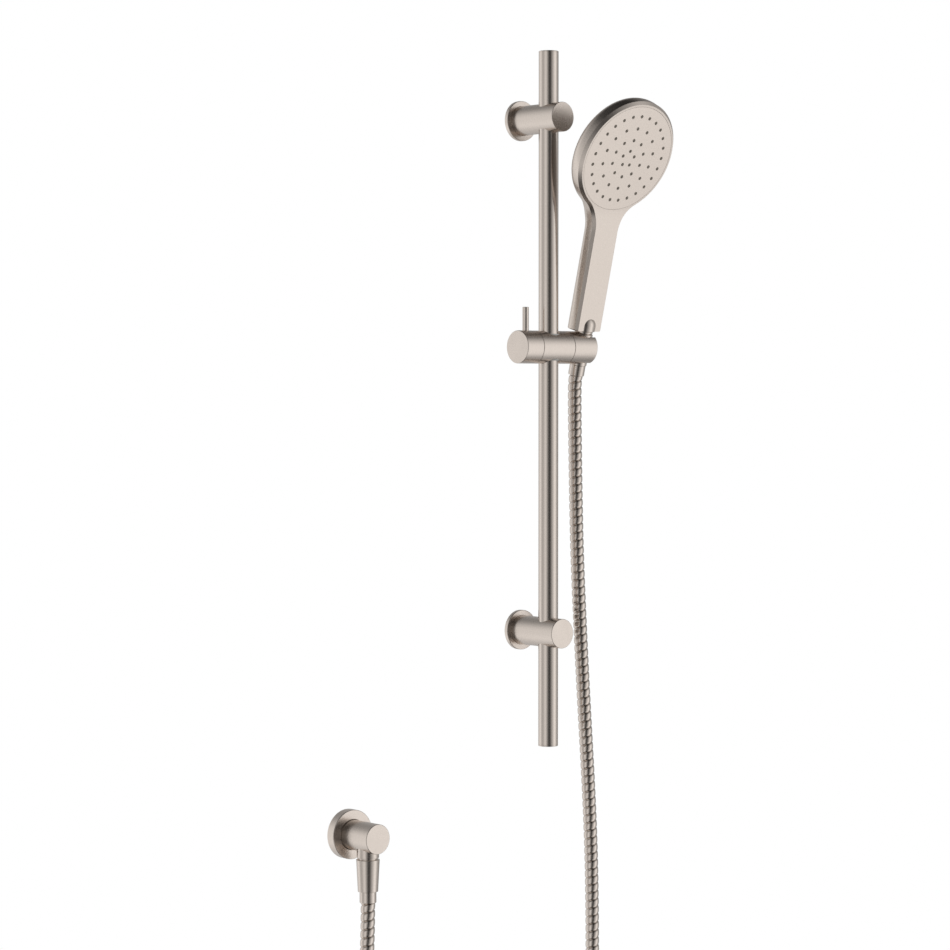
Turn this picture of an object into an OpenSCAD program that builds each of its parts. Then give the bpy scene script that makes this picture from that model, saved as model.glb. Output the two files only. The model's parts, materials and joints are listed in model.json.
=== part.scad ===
// Hand shower on a wall rail: rail with two brackets, sliding holder, handset, hose and wall outlet.
// Frame: the wall is the plane y = 0 and the set stands out towards -Y, with +Z up. The origin is the
// middle of the upper bracket's back face. Lengths are in millimetres.

/* [Rail] */
// Diameter of the rail
rail_d = 20; // [19:0.5:20.5]
// Wall thickness of the rail tube
rail_wall = 1.2; // [0.8:0.1:2]
// Length of the rail over its end caps
rail_len = 700; // [690:5:760]
// Distance from the wall to the rail's axis
rail_stand = 44; // [43:0.5:46]
// Distance between the two brackets
bracket_gap = 518; // [500:2:540]
// Length of rail above the upper bracket
rail_over = 67; // [60:1:80]

/* [Brackets] */
// Diameter of the bracket post
post_d = 29.7; // [28:0.1:31]
// Distance from the wall to the front of the post
post_front = 65.4; // [62:0.2:70]
// Diameter of the wall flange
flange_d = 40.4; // [39:0.2:46]
// Thickness of the wall flange
flange_t = 4.3; // [4:0.1:6]
// Distance between the two screw holes of a wall plate
plate_hole_gap = 26.6; // [26:0.2:27]

/* [Slider] */
// Diameter of the slider, its lock knob and its holder
slider_d = 33.1; // [33:0.1:34]
// Length of the lock knob
knob_len = 21.6; // [20:0.1:24]
// Length of the middle body
mid_len = 42; // [41:0.1:44]
// Length of the holder
holder_len = 30.6; // [30:0.1:32]
// Height of the slider's axis below the upper bracket
slider_drop = 230; // [225:1:240]
// Diameter of the lock lever
lever_d = 6.4; // [5:0.1:7]
// Height of the lever's tip above the slider's axis
lever_top = 40; // [34:0.5:44]
// Travel of the brake shoe when the lock is released
shoe_travel = 0.8; // [0.5:0.1:0.8]

/* [Handset] */
// Lean of the handle away from the wall, in degrees
handle_tilt = 14.4; // [10:0.2:20]
// Bend of the spray face against the handle, in degrees
face_bend = 12.3; // [8:0.1:14]
// Diameter of the head
head_d = 115; // [112:1:118]
// Diameter of the round faceplate
faceplate_d = 110.4; // [108:0.2:111]
// Width of the handle
handle_w = 30.4; // [29:0.2:32]
// Depth of the handset
handset_depth = 18.4; // [18:0.1:20]
// Depth of the front plate's rim
bezel_depth = 7.2; // [6:0.1:8]
// Radius of the neck between the head and the handle
neck_r = 40; // [36:1:44]
// Distance of the handset's middle plane from the rail's axis
handset_x = 44.2; // [44:0.1:44.6]

/* [Hose] */
// Outer diameter of the hose
hose_d = 14; // [13:0.2:15]

/* [Wall outlet] */
// Distance of the outlet's axis to the left of the rail's axis
outlet_x = 223.4; // [220:0.2:226]
// Height of the outlet's axis below the upper bracket
outlet_drop = 704; // [700:1:708]
// Diameter of the outlet's wall flange
outlet_flange_d = 48; // [46:0.5:54]
// Thickness of the outlet's wall flange
outlet_flange_t = 9.7; // [9:0.1:11]
// Diameter of the outlet's body
outlet_d = 29; // [28.6:0.1:30]
// Distance from the wall to the front of the body
outlet_front = 48.8; // [48:0.2:52]
// Distance from the wall to the hose's axis
hose_stand = 33; // [32:0.5:34]

/* [Hidden] */
$fn = 48;

tiny = 0.05;                     // gap between two turned pieces that fit together
run = 0.1;                       // running clearance
seam = 0.3;                      // gap between the slider's sections

nickel = [0.72, 0.68, 0.64];
plastic = [0.30, 0.30, 0.31];
rubber = [0.12, 0.12, 0.12];
brass = [0.78, 0.66, 0.40];

// Rail and brackets
rail_r = rail_d / 2;
rail_bore_r = rail_r - rail_wall;
cap_t = 1.5;
cap_plug_len = 8;
rail_top = rail_over;
rail_bottom = rail_over - rail_len;
post_r = post_d / 2;
plate_t = 2;
boss_r = 9;
boss_depth = 24;
screw_hole_r = 2.25;
grub_r = 2;
edge = 0.6;                      // chamfer on visible turned edges

// Slider
slider_r = slider_d / 2;
mid_left = -19.9;
mid_right = mid_left + mid_len;
knob_left = mid_left - knob_len;
holder_right = mid_right + holder_len;
liner_r = 11.5;
liner_half = 13.4;
shoe_r = 5.9;
shoe_back = -17.2;
lock_screw_r = 3;
pivot_r = 2.6;
pivot_head_r = 4.8;
pivot_head_x = 30.4;

// Handset, in its own frame: z up along the handle, the front towards -y, origin on the slider's axis
front_y = -8;
rear_y = front_y + handset_depth;
head_r = head_d / 2;
faceplate_r = faceplate_d / 2;
handle_half = handle_w / 2;
shell_wall = 1.6;
plate_wall = 1.6;
handle_low = 20;
bend_z = 141.8;
head_rise = 58.2;                // from the bend up to the middle of the head
neck_x = handle_half + neck_r;   // centres of the two neck arcs, from the middle of the head
neck_angle = acos(neck_x / (head_r + neck_r));
neck_z = -(head_r + neck_r) * sin(neck_angle);
inlet_r = 8.6;
inlet_dome_z = 23.5;
inlet_neck_z = 15.6;
notch_r = 7.15;
notch_z = 23.9;
ring_radii = [45, 32, 19.5, 8];
ring_counts = [25, 14, 10, 5];
core_r = 54.6;                   // mat, spray plate and water chamber
tray_front = 5.05;
tray_back = 13;
seal_y = 5.8;
seal_r = 50.5;
neck_low = 129.8;
tube_r = 5;
tube_bore_r = 3.4;
tube_low = 25;
thread_low = 6;
inlet_thread_r = 7.4;
disc_r = 6;                      // flow restrictor
disc_low = 16.5;
disc_t = 3;

// The cone nut and the holder's tapered slot share one taper
seat_top = 17;
seat_top_r = 10.1;
seat_low_r = 8.95;
nut_top = 15.4;
nut_low = -17.7;
ferrule_low = -28.5;
ferrule_r = 8.15;
ferrule_neck_r = 6.6;
ferrule_head_r = 7.3;
nut_shelf = 6;                   // half height of the room for the ferrule's head
function seat_radius(z) = seat_low_r + (seat_top_r - seat_low_r) * (z + seat_top) / (2 * seat_top);

// Wall outlet, in its own frame: origin on its axis at the wall
hose_r = hose_d / 2;
outlet_r = outlet_d / 2;
nipple_r = 10.45;
nipple_bore_r = 6.5;
nipple_in = -13.9;
thread_len = 14;
feed_r = 8.6;                    // bore of the outlet's body
grub_y = -12.2;
small_grub_r = 1.5;
spigot_r = 9.65;
spigot_root_r = 7.55;
spigot_thread_r = 10.2;
valve_len = 12.2;
valve_bore_r = 6.4;
stem_r = 1.6;
oring_y = -1.6;
outlet_nut_top = -23;
outlet_nut_low = -54.2;
outlet_nut_top_r = 11.4;
outlet_nut_low_r = 9.8;
outlet_ferrule_low = -64.9;

// ---------------------------------------------------------------- shared shapes

module along_y(r, y0, y1) {
    translate([0, y0, 0]) rotate([-90, 0, 0]) cylinder(r = r, h = y1 - y0);
}

module along_x(r, x0, x1) {
    translate([x0, 0, 0]) rotate([0, 90, 0]) cylinder(r = r, h = x1 - x0);
}

module up_z(r, z0, z1) {
    translate([0, 0, z0]) cylinder(r = r, h = z1 - z0);
}

module cone_z(r0, r1, z0, z1) {
    translate([0, 0, z0]) cylinder(r1 = r0, r2 = r1, h = z1 - z0);
}

module ring_z(r_out, r_in, z0, z1) {
    difference() {
        up_z(r_out, z0, z1);
        up_z(r_in, z0 - 1, z1 + 1);
    }
}

// A cylinder along y whose front rim is chamfered
module front_chamfered(r, y_front, y_back) {
    along_y(r, y_front + edge, y_back);
    translate([0, y_front, 0]) rotate([-90, 0, 0]) cylinder(r1 = r - edge, r2 = r, h = edge);
}

module o_ring(r, section) {
    rotate_extrude() translate([r, 0]) circle(r = section);
}

module at_brackets() {
    for (z = [0, -bracket_gap]) translate([0, 0, z]) children();
}

module at_slider() {
    translate([0, -rail_stand, -slider_drop]) children();
}

module at_handset() {
    at_slider() translate([handset_x, 0, 0]) rotate([handle_tilt, 0, 0]) children();
}

// Origin in the middle of the spray face, z up along the face, y towards the back
module at_head() {
    at_handset() translate([0, front_y, bend_z]) rotate([face_bend, 0, 0])
        translate([0, 0, head_rise]) children();
}

module at_outlet() {
    translate([-outlet_x, 0, -outlet_drop]) children();
}

// Origin at the nipple's inner end
module at_valve() {
    at_outlet() translate([0, nipple_in, 0]) children();
}

module at_spigot() {
    at_outlet() translate([0, -hose_stand, 0]) children();
}

// ---------------------------------------------------------------- rail

module rail_tube() {
    color(nickel) translate([0, -rail_stand, 0])
        ring_z(rail_r, rail_bore_r, rail_bottom + cap_t, rail_top - cap_t);
}

// Drawn with its face up at z = 0
module end_cap() {
    color(nickel) {
        cone_z(rail_r, rail_r - edge, -edge, 0);
        up_z(rail_r, -cap_t, -edge);
        up_z(rail_bore_r - tiny, -cap_t - cap_plug_len, -cap_t);
    }
}

module top_end_cap() {
    translate([0, -rail_stand, rail_top]) end_cap();
}

module bottom_end_cap() {
    translate([0, -rail_stand, rail_bottom]) mirror([0, 0, 1]) end_cap();
}

// ---------------------------------------------------------------- brackets

// A turned post: the rail passes through it, and a boss on the wall plate fills the bore at its back
module bracket_post() {
    color(nickel) difference() {
        front_chamfered(post_r, -post_front, -plate_t);
        translate([0, -rail_stand, 0]) up_z(rail_r + tiny, -post_r - 1, post_r + 1);
        along_y(boss_r + tiny, -boss_depth - 0.5, 0);
        along_y(grub_r + tiny, -rail_stand, -boss_depth);
        translate([0, -boss_depth / 2, 0]) up_z(grub_r + tiny, -post_r - 1, -boss_r);
    }
}

// A thin dished ring over the wall plate and its screw heads
module wall_flange() {
    color(nickel) difference() {
        front_chamfered(flange_d / 2, -flange_t, 0);
        along_y(post_r + tiny, -flange_t - 1, 1);
        along_y(flange_d / 2 - 1.5, -flange_t + 1, 1);
    }
}

module wall_plate() {
    color(plastic) difference() {
        union() {
            along_y(flange_d / 2 - 1.7, -plate_t + tiny, 0);
            along_y(boss_r, -boss_depth, -plate_t / 2);
        }
        for (side = [-1, 1]) translate([side * plate_hole_gap / 2, 0, 0])
            along_y(screw_hole_r, -plate_t - 1, 1);
    }
}

module upper_bracket_post() { bracket_post(); }

module lower_bracket_post() { translate([0, 0, -bracket_gap]) bracket_post(); }

module upper_wall_flange() { wall_flange(); }

module lower_wall_flange() { translate([0, 0, -bracket_gap]) wall_flange(); }

module upper_wall_plate() { wall_plate(); }

module lower_wall_plate() { translate([0, 0, -bracket_gap]) wall_plate(); }

// A set screw with a hexagon socket, its driven end at z = 0 and its tip at z = length
module set_screw(length, r) {
    difference() {
        up_z(r, 0, length);
        translate([0, 0, -1]) cylinder(r = 0.58 * r, h = 2.5, $fn = 6);
    }
}

module bracket_grub_screws() {
    color(plastic) at_brackets() translate([0, -boss_depth / 2, -post_r + edge])
        set_screw(post_r - boss_r - edge - run, grub_r);
}

module rail_set_screws() {
    color(plastic) at_brackets() translate([0, -boss_depth - edge, 0]) rotate([90, 0, 0])
        set_screw(rail_stand - rail_r - boss_depth - edge - run, grub_r);
}

// ---------------------------------------------------------------- wall outlet

module outlet_flange() {
    color(nickel) at_outlet() difference() {
        front_chamfered(outlet_flange_d / 2, -outlet_flange_t, 0);
        along_y(outlet_r + 0.8, -outlet_flange_t - 1, -2.4);
        along_y(nipple_r + 0.3, -3, 1);
    }
}

module outlet_body() {
    color(nickel) at_outlet() difference() {
        front_chamfered(outlet_r, -outlet_front, -2.6);
        along_y(feed_r, -41, 0);
        translate([0, -hose_stand, 0]) up_z(spigot_root_r + tiny, -outlet_r - 1, 0);
        translate([0, grub_y, 0]) up_z(small_grub_r + tiny, -outlet_r - 1, -feed_r + 1);
    }
}

module outlet_inlet_nipple() {
    color(brass) at_outlet() difference() {
        union() {
            along_y(nipple_r, 0, thread_len);
            along_y(nipple_r - 0.3, -2.3, 0);
            along_y(feed_r - tiny, nipple_in, -2.3);
        }
        along_y(nipple_bore_r, nipple_in - 1, thread_len + 1);
    }
}

// The short tube that points down; its thread is hidden in the hose's nut
module outlet_spigot() {
    color(nickel) at_spigot() difference() {
        union() {
            up_z(spigot_root_r, -outlet_r - 1, -6);
            difference() {
                up_z(spigot_r, outlet_nut_top + 0.8, -8);
                translate([0, hose_stand, 0]) along_y(outlet_r, -outlet_front + 1, 0);
            }
            up_z(spigot_r - 0.6, outlet_nut_top, outlet_nut_top + 0.8);
            up_z(spigot_thread_r, outlet_nut_top - 9, outlet_nut_top);
        }
        up_z(5.5, outlet_nut_top - 10, 0);
        translate([0, hose_stand, 0]) along_y(feed_r - tiny, -41, 0);
    }
}

module outlet_grub_screw() {
    color(plastic) at_outlet() translate([0, grub_y, -outlet_r + 0.5])
        set_screw(outlet_r - feed_r - 0.6, small_grub_r);
}

// The valve's parts sit in the body's bore, between the nipple and the branch to the spigot
module check_valve_housing() {
    color(plastic) at_valve() difference() {
        along_y(feed_r - 0.1, -valve_len, -0.1);
        along_y(valve_bore_r, -valve_len + 1.2, -3);
        along_y(4, -4, 1);
        along_y(stem_r + run, -valve_len - 1, 0);
        for (a = [0 : 60 : 300]) rotate([0, a, 0]) translate([4.2, 0, 0])
            along_y(1.5, -valve_len - 1, -valve_len + 2);
        translate([0, oring_y, 0]) rotate([90, 0, 0]) ring_groove(7.4, 9, 0.9);
    }
}

// Ring to cut away as a groove for an O-ring
module ring_groove(r_in, r_out, half) {
    difference() {
        up_z(r_out, -half, half);
        up_z(r_in, -half - 1, half + 1);
    }
}

module check_valve_poppet() {
    color(plastic) at_valve() {
        along_y(5.6, -5, -3.05);
        along_y(stem_r, -valve_len - 1.4, -5);
        along_y(3.8, -3.05, -1.6);
    }
}

// Envelope of the coil around the poppet's stem
module check_valve_spring() {
    color(nickel) at_valve() difference() {
        along_y(3.4, -valve_len + 1.3, -5.1);
        along_y(2.6, -valve_len, -4);
    }
}

module check_valve_oring() {
    color(rubber) at_valve() translate([0, oring_y, 0]) rotate([90, 0, 0]) o_ring(7.95, 0.5);
}

module outlet_hose_nut() {
    color(nickel) at_spigot() difference() {
        cone_z(outlet_nut_low_r, outlet_nut_top_r, outlet_nut_low, outlet_nut_top);
        up_z(spigot_thread_r + tiny, outlet_nut_top - 9.1, outlet_nut_top + 1);
        up_z(8.4, outlet_nut_top - 19, outlet_nut_top - 9);
        up_z(ferrule_neck_r + run, outlet_nut_low - 1, outlet_nut_top - 18);
    }
}

module outlet_hose_washer() {
    color(rubber) at_spigot() ring_z(8.2, 4.5, outlet_nut_top - 11.2, outlet_nut_top - 9.2);
}

// The crimped sleeve on the hose's end, with the neck and head that hold it in the nut
module ferrule(low, sleeve_top, head_low, head_top) {
    difference() {
        union() {
            up_z(ferrule_r, low, sleeve_top);
            up_z(ferrule_neck_r, sleeve_top, head_low);
            up_z(ferrule_head_r, head_low, head_top);
        }
        up_z(3.5, low - 1, head_top + 1);
    }
}

module outlet_hose_ferrule() {
    color(nickel) at_spigot()
        ferrule(outlet_ferrule_low, outlet_nut_low - 0.1, outlet_nut_top - 18.9, outlet_nut_top - 11.4);
}

// ---------------------------------------------------------------- hose

// Where the hose runs: down from the handset, round its hanging loop and up to the wall outlet
route = [
    [44.2, -44 - ferrule_low * sin(handle_tilt), -230 + ferrule_low * cos(handle_tilt)],
    [44.2, -35.5, -265],
    [44.3, -35, -272.5],
    [44.4, -34.8, -285],
    [44.6, -34.9, -310],
    [44.9, -35.4, -350],
    [45.3, -36, -390],
    [46, -36.6, -430],
    [47.6, -37, -470],
    [50, -37, -510],
    [52.6, -37, -550],
    [55.4, -37, -590],
    [58.4, -37, -630],
    [61.4, -37, -670],
    [64, -37, -710],
    [66, -37, -750],
    [67.2, -37, -790],
    [67.8, -37, -835],
    [67.6, -37, -885],
    [65.4, -37, -936],
    [59.4, -37, -987],
    [47.4, -36.5, -1036],
    [27, -36, -1081],
    [-2, -36, -1118.5],
    [-38, -35.5, -1141.5],
    [-78, -35, -1149.5],
    [-118, -34.5, -1142.5],
    [-154, -34, -1119.5],
    [-183, -33.5, -1083],
    [-203, -33, -1038],
    [-215.4, -33, -989],
    [-222.2, -33, -938],
    [-225.2, -33, -886],
    [-225.2, -33, -834],
    [-223.9, -33, -795],
    [-223.4, -33, -768.9]
];
hose_sides = 10;

// Two rings for each stretch of the route, on a smooth curve through its points
function blend_point(a, b, c, d, t) =
    0.5 * (2 * b + (c - a) * t + (2 * a - 5 * b + 4 * c - d) * t * t
        + (3 * b - a - 3 * c + d) * t * t * t);
function route_point(i) = route[max(0, min(len(route) - 1, i))];
function route_at(k) =
    let (i = floor(k / 2), t = (k - 2 * i) / 2)
    blend_point(route_point(i - 1), route_point(i), route_point(i + 1), route_point(i + 2), t);
function unit(v) = v / norm(v);

ring_total = 2 * len(route) - 1;
spine = [for (k = [0 : ring_total - 1]) route_at(k)];
start_way = [0, sin(handle_tilt), -cos(handle_tilt)];
end_way = [0, 0, 1];
function way(k) =
    k == 0 ? start_way : k == ring_total - 1 ? end_way : unit(spine[k + 1] - spine[k - 1]);
function hose_ring(k) =
    let (t = way(k), u = unit(cross(t, [0, 1, 0])), v = cross(t, u))
    [for (s = [0 : hose_sides - 1])
        let (a = 360 * s / hose_sides) spine[k] + hose_r * (cos(a) * u + sin(a) * v)];

module hose_tube() {
    points = [for (k = [0 : ring_total - 1]) each hose_ring(k)];
    walls = [for (k = [0 : ring_total - 2]) for (s = [0 : hose_sides - 1])
        let (n = (s + 1) % hose_sides, a = k * hose_sides, b = a + hose_sides)
        [a + s, b + s, b + n, a + n]];
    first = [for (s = [0 : hose_sides - 1]) s];
    last = [for (s = [hose_sides - 1 : -1 : 0]) (ring_total - 1) * hose_sides + s];
    color(nickel) polyhedron(points = points, faces = concat(walls, [first], [last]));
}

// ---------------------------------------------------------------- slider

module slider_liner() {
    color(plastic) at_slider() ring_z(liner_r, rail_r + run / 2, -liner_half, liner_half);
}

module slider_body() {
    color(nickel) at_slider() difference() {
        along_x(slider_r, mid_left + seam / 2, mid_right - seam / 2);
        up_z(liner_r + run / 2, -slider_r - 1, slider_r + 1);
        along_x(shoe_r + run, shoe_back - 1, 0);
        along_x(lock_screw_r + run / 2, mid_left - 1, 0);
        along_x(pivot_r + tiny, 0, mid_right + 1);
    }
}

module lock_knob() {
    color(nickel) at_slider() difference() {
        union() {
            along_x(slider_r, knob_left + edge, mid_left - seam / 2);
            translate([knob_left, 0, 0]) rotate([0, 90, 0])
                cylinder(r1 = slider_r - edge, r2 = slider_r, h = edge);
        }
        along_x(lock_screw_r + tiny, mid_left - 16, 0);
        translate([mid_left - knob_len / 2, 0, 0]) up_z(lever_d / 2 + tiny, 5, slider_r + 1);
    }
}

module lock_lever() {
    color(nickel) at_slider() translate([mid_left - knob_len / 2, 0, 0]) {
        up_z(lever_d / 2, 5.1, lever_top - edge);
        cone_z(lever_d / 2, lever_d / 2 - edge, lever_top - edge, lever_top);
    }
}

// Turned by the knob; its tip stands in the shoe
module lock_screw() {
    color(plastic) at_slider() along_x(lock_screw_r, mid_left - 15.9, shoe_back + 0.2);
}

module brake_shoe() {
    color(plastic) at_slider() difference() {
        along_x(shoe_r, shoe_back, -liner_r + 2);
        up_z(liner_r + run, -slider_r, slider_r);
        along_x(lock_screw_r + run, shoe_back - 1, shoe_back + shoe_travel + 0.6);
    }
}

// ---------------------------------------------------------------- holder

// The holder turns on the pivot screw. Its tapered slot opens to the side and takes the hose's nut.
module handset_holder() {
    color(nickel) difference() {
        at_slider() union() {
            along_x(slider_r, mid_right + seam / 2, holder_right - edge);
            translate([holder_right - edge, 0, 0]) rotate([0, 90, 0])
                cylinder(r1 = slider_r, r2 = slider_r - edge, h = edge);
        }
        at_handset() {
            cone_z(seat_radius(-seat_top - 3), seat_radius(seat_top + 3), -seat_top - 3, seat_top + 3);
            holder_slot();
        }
        at_slider() along_x(pivot_r + run, mid_right - 1, handset_x);
        at_slider() along_x(pivot_head_r + 0.3, pivot_head_x - 1, handset_x);
    }
}

module holder_slot() {
    z = seat_top + 3;
    translate([0, 0, 0]) rotate([90, 0, 90]) linear_extrude(holder_right - handset_x + 1)
        polygon([[-seat_radius(z), z], [seat_radius(z), z], [seat_radius(-z), -z], [-seat_radius(-z), -z]]);
}

module slider_pivot_screw() {
    color(plastic) at_slider() difference() {
        union() {
            along_x(pivot_r, 13, pivot_head_x);
            along_x(pivot_head_r, pivot_head_x, pivot_head_x + 2.6);
        }
        translate([pivot_head_x + 1, 0, 0]) rotate([0, 90, 0]) cylinder(d = 4.6, h = 3, $fn = 6);
    }
}

module holder_washer() {
    color(brass) at_slider() difference() {
        along_x(pivot_head_r, pivot_head_x - 0.9, pivot_head_x - run);
        along_x(pivot_r + run, 0, pivot_head_x + 1);
    }
}

// ---------------------------------------------------------------- handset

function arc(x, z, r, from, to, steps) =
    [for (i = [0 : steps]) let (a = from + (to - from) * i / steps) [x + r * cos(a), z + r * sin(a)]];

// Outline of the handset seen from the front, drawn in by `inset`: a round head, two neck arcs and a
// straight handle. Its origin is the middle of the head.
module handset_outline(inset) {
    low = handle_low - bend_z - head_rise + inset;
    side = handle_half - inset;
    polygon(concat(
        [[-side, low], [side, low]],
        arc(neck_x, neck_z, neck_r + inset, 180, 180 - neck_angle, 10),
        arc(0, 0, head_r - inset, 4 - neck_angle, 176 + neck_angle, 62),
        arc(-neck_x, neck_z, neck_r + inset, neck_angle, 0, 10)
    ));
}

// The outline as a slab from depth d0 to d1 behind the front, bent at the neck. Its two halves run
// into each other a little way past the plane that halves the bend.
module handset_slab(inset, d0, d1) {
    reach = 400;
    over = 0.3;
    intersection() {
        translate([0, front_y, bend_z]) rotate([face_bend / 2, 0, 0])
            translate([-reach / 2, -reach / 2, -over]) cube(reach);
        translate([0, front_y, bend_z]) rotate([face_bend, 0, 0])
            translate([0, d1, head_rise]) rotate([90, 0, 0])
                linear_extrude(d1 - d0) handset_outline(inset);
    }
    intersection() {
        translate([0, front_y, bend_z]) rotate([face_bend / 2, 0, 0])
            translate([-reach / 2, -reach / 2, over - reach]) cube(reach);
        translate([0, front_y + d1, bend_z + head_rise]) rotate([90, 0, 0])
            linear_extrude(d1 - d0) handset_outline(inset);
    }
}

module handset_rear_shell() {
    color(nickel) at_handset() difference() {
        handset_slab(0, bezel_depth + tiny, handset_depth);
        handset_slab(shell_wall, bezel_depth - 1, handset_depth - shell_wall);
        up_z(inlet_r + run, handle_low - 2, handle_low + shell_wall + 1);
    }
}

// Rim all round, a floor on the handle with an arched notch for the inlet, and a lip for the faceplate
module handset_front_plate() {
    color(nickel) at_handset() difference() {
        handset_slab(0, 0, bezel_depth);
        handset_slab(plate_wall, plate_wall, bezel_depth + 1);
        translate([0, front_y, bend_z]) rotate([face_bend, 0, 0]) translate([0, 0, head_rise])
            along_y(faceplate_r + 0.2, -1, bezel_depth - 1);
        translate([0, front_y + plate_wall + 1, 0]) rotate([90, 0, 0])
            linear_extrude(plate_wall + 2) notch_outline();
        up_z(inlet_r + run, handle_low - 2, inlet_dome_z + 4.5);
    }
}

module notch_outline() {
    polygon(concat(
        [[-notch_r, handle_low - 1], [notch_r, handle_low - 1]],
        arc(0, notch_z, notch_r, 0, 180, 16)
    ));
}

module spray_faceplate() {
    color(nickel) at_head() difference() {
        along_y(faceplate_r, 0, 1.6);
        each_nozzle() along_y(1.25, -1, 3);
    }
}

module each_nozzle() {
    for (ring = [0 : len(ring_radii) - 1])
        for (k = [0 : ring_counts[ring] - 1])
            rotate([0, 360 * k / ring_counts[ring], 0]) translate([0, 0, ring_radii[ring]])
                children();
}

// Soft mat behind the faceplate, with one nozzle for each hole
module spray_nozzle_mat() {
    color(rubber) at_head() difference() {
        union() {
            along_y(core_r, 1.65, 3);
            each_nozzle() along_y(1.15, -0.3, 2);
        }
        each_nozzle() along_y(0.45, -1, 4);
    }
}

// Rigid plate behind the mat; each nozzle is fed through a hole of its own
module spray_plate() {
    color(plastic) at_head() difference() {
        along_y(core_r, 3.05, tray_front - tiny);
        each_nozzle() along_y(0.8, 2, tray_front + 1);
    }
}

module chamber_seal() {
    color(rubber) at_head() translate([0, seal_y, 0]) rotate([90, 0, 0]) o_ring(seal_r, 0.7);
}

// Closed tray behind the spray plate; its neck is bent like the handset and plugs into the water tube
module water_chamber() {
    color(plastic) difference() {
        union() {
            at_head() along_y(core_r, tray_front, tray_back);
            bent_neck(4.5, neck_low, -core_r + 2);
            at_handset() up_z(tube_bore_r - tiny, neck_low - 8, neck_low);
        }
        at_head() along_y(core_r + 1, 0, tray_front);
        at_head() along_y(core_r - 7, 4, tray_back - 1.5);
        at_head() translate([0, seal_y, 0]) rotate([90, 0, 0])
            ring_groove(seal_r - 0.8, seal_r + 0.8, 0.8);
        bent_neck(2.6, neck_low - 9, -core_r + 9);
    }
}

// A round bar from height z0 in the handle, round the bend, to height z1 in the head
module bent_neck(r, z0, z1) {
    elbow = -front_y * tan(face_bend / 2);
    at_handset() up_z(r, z0, bend_z + elbow);
    at_handset() translate([0, 0, bend_z + elbow]) sphere(r = r + 0.4);
    at_head() translate([0, -front_y, 0]) up_z(r, -head_rise - elbow, z1);
}

module handle_water_tube() {
    color(plastic) at_handset() ring_z(tube_r, tube_bore_r, tube_low, neck_low - tiny);
}

// Domed inlet: its front shows in the notch of the front plate, and its thread is in the hose's nut
module handset_inlet() {
    color(nickel) at_handset() difference() {
        union() {
            up_z(inlet_r, inlet_neck_z + 0.8, inlet_dome_z);
            translate([0, 0, inlet_dome_z]) sphere(r = inlet_r);
            up_z(inlet_r - 0.8, inlet_neck_z, inlet_neck_z + 0.8);
            up_z(inlet_thread_r, thread_low, inlet_neck_z);
        }
        up_z(disc_r + run, thread_low - 1, disc_low + disc_t + run);
        up_z(tube_bore_r, thread_low, tube_low);
        up_z(tube_r + tiny, tube_low - tiny, tube_low + 10);
    }
}

module flow_restrictor() {
    color(plastic) at_handset() difference() {
        up_z(disc_r, disc_low, disc_low + disc_t);
        for (a = [0 : 60 : 300]) rotate([0, 0, a]) translate([2.4, 0, 0])
            up_z(0.7, disc_low - 1, disc_low + disc_t + 1);
    }
}

module handset_hose_nut() {
    color(nickel) at_handset() difference() {
        cone_z(seat_radius(nut_low) - run, seat_radius(nut_top) - run, nut_low, nut_top);
        up_z(inlet_thread_r + tiny, nut_shelf - run, nut_top + 1);
        up_z(ferrule_head_r + 0.2, -nut_shelf, nut_shelf);
        up_z(ferrule_neck_r + run, nut_low - 1, -nut_shelf + 1);
    }
}

module handset_hose_washer() {
    color(rubber) at_handset() ring_z(ferrule_head_r, 4.2, nut_shelf - 2.1, nut_shelf - run);
}

module handset_hose_ferrule() {
    color(nickel) at_handset() ferrule(ferrule_low, nut_low - run, -nut_shelf + run, nut_shelf - 2.3);
}

// ---------------------------------------------------------------- the set

rail_tube();
top_end_cap();
bottom_end_cap();
upper_bracket_post();
lower_bracket_post();
upper_wall_flange();
lower_wall_flange();
upper_wall_plate();
lower_wall_plate();
bracket_grub_screws();
rail_set_screws();
outlet_flange();
outlet_body();
outlet_inlet_nipple();
outlet_spigot();
outlet_grub_screw();
check_valve_housing();
check_valve_poppet();
check_valve_spring();
check_valve_oring();
outlet_hose_nut();
outlet_hose_washer();
outlet_hose_ferrule();
hose_tube();
slider_liner();
slider_body();
slider_pivot_screw();
lock_knob();
lock_lever();
lock_screw();
brake_shoe();
handset_holder();
holder_washer();
handset_rear_shell();
handset_front_plate();
spray_faceplate();
spray_nozzle_mat();
spray_plate();
chamber_seal();
water_chamber();
handle_water_tube();
handset_inlet();
flow_restrictor();
handset_hose_nut();
handset_hose_washer();
handset_hose_ferrule();
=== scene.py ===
"""Hand shower on a wall rail: the looks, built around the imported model."""

import json
import math

import bmesh
import bpy
from mathutils import Matrix, Vector


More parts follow.
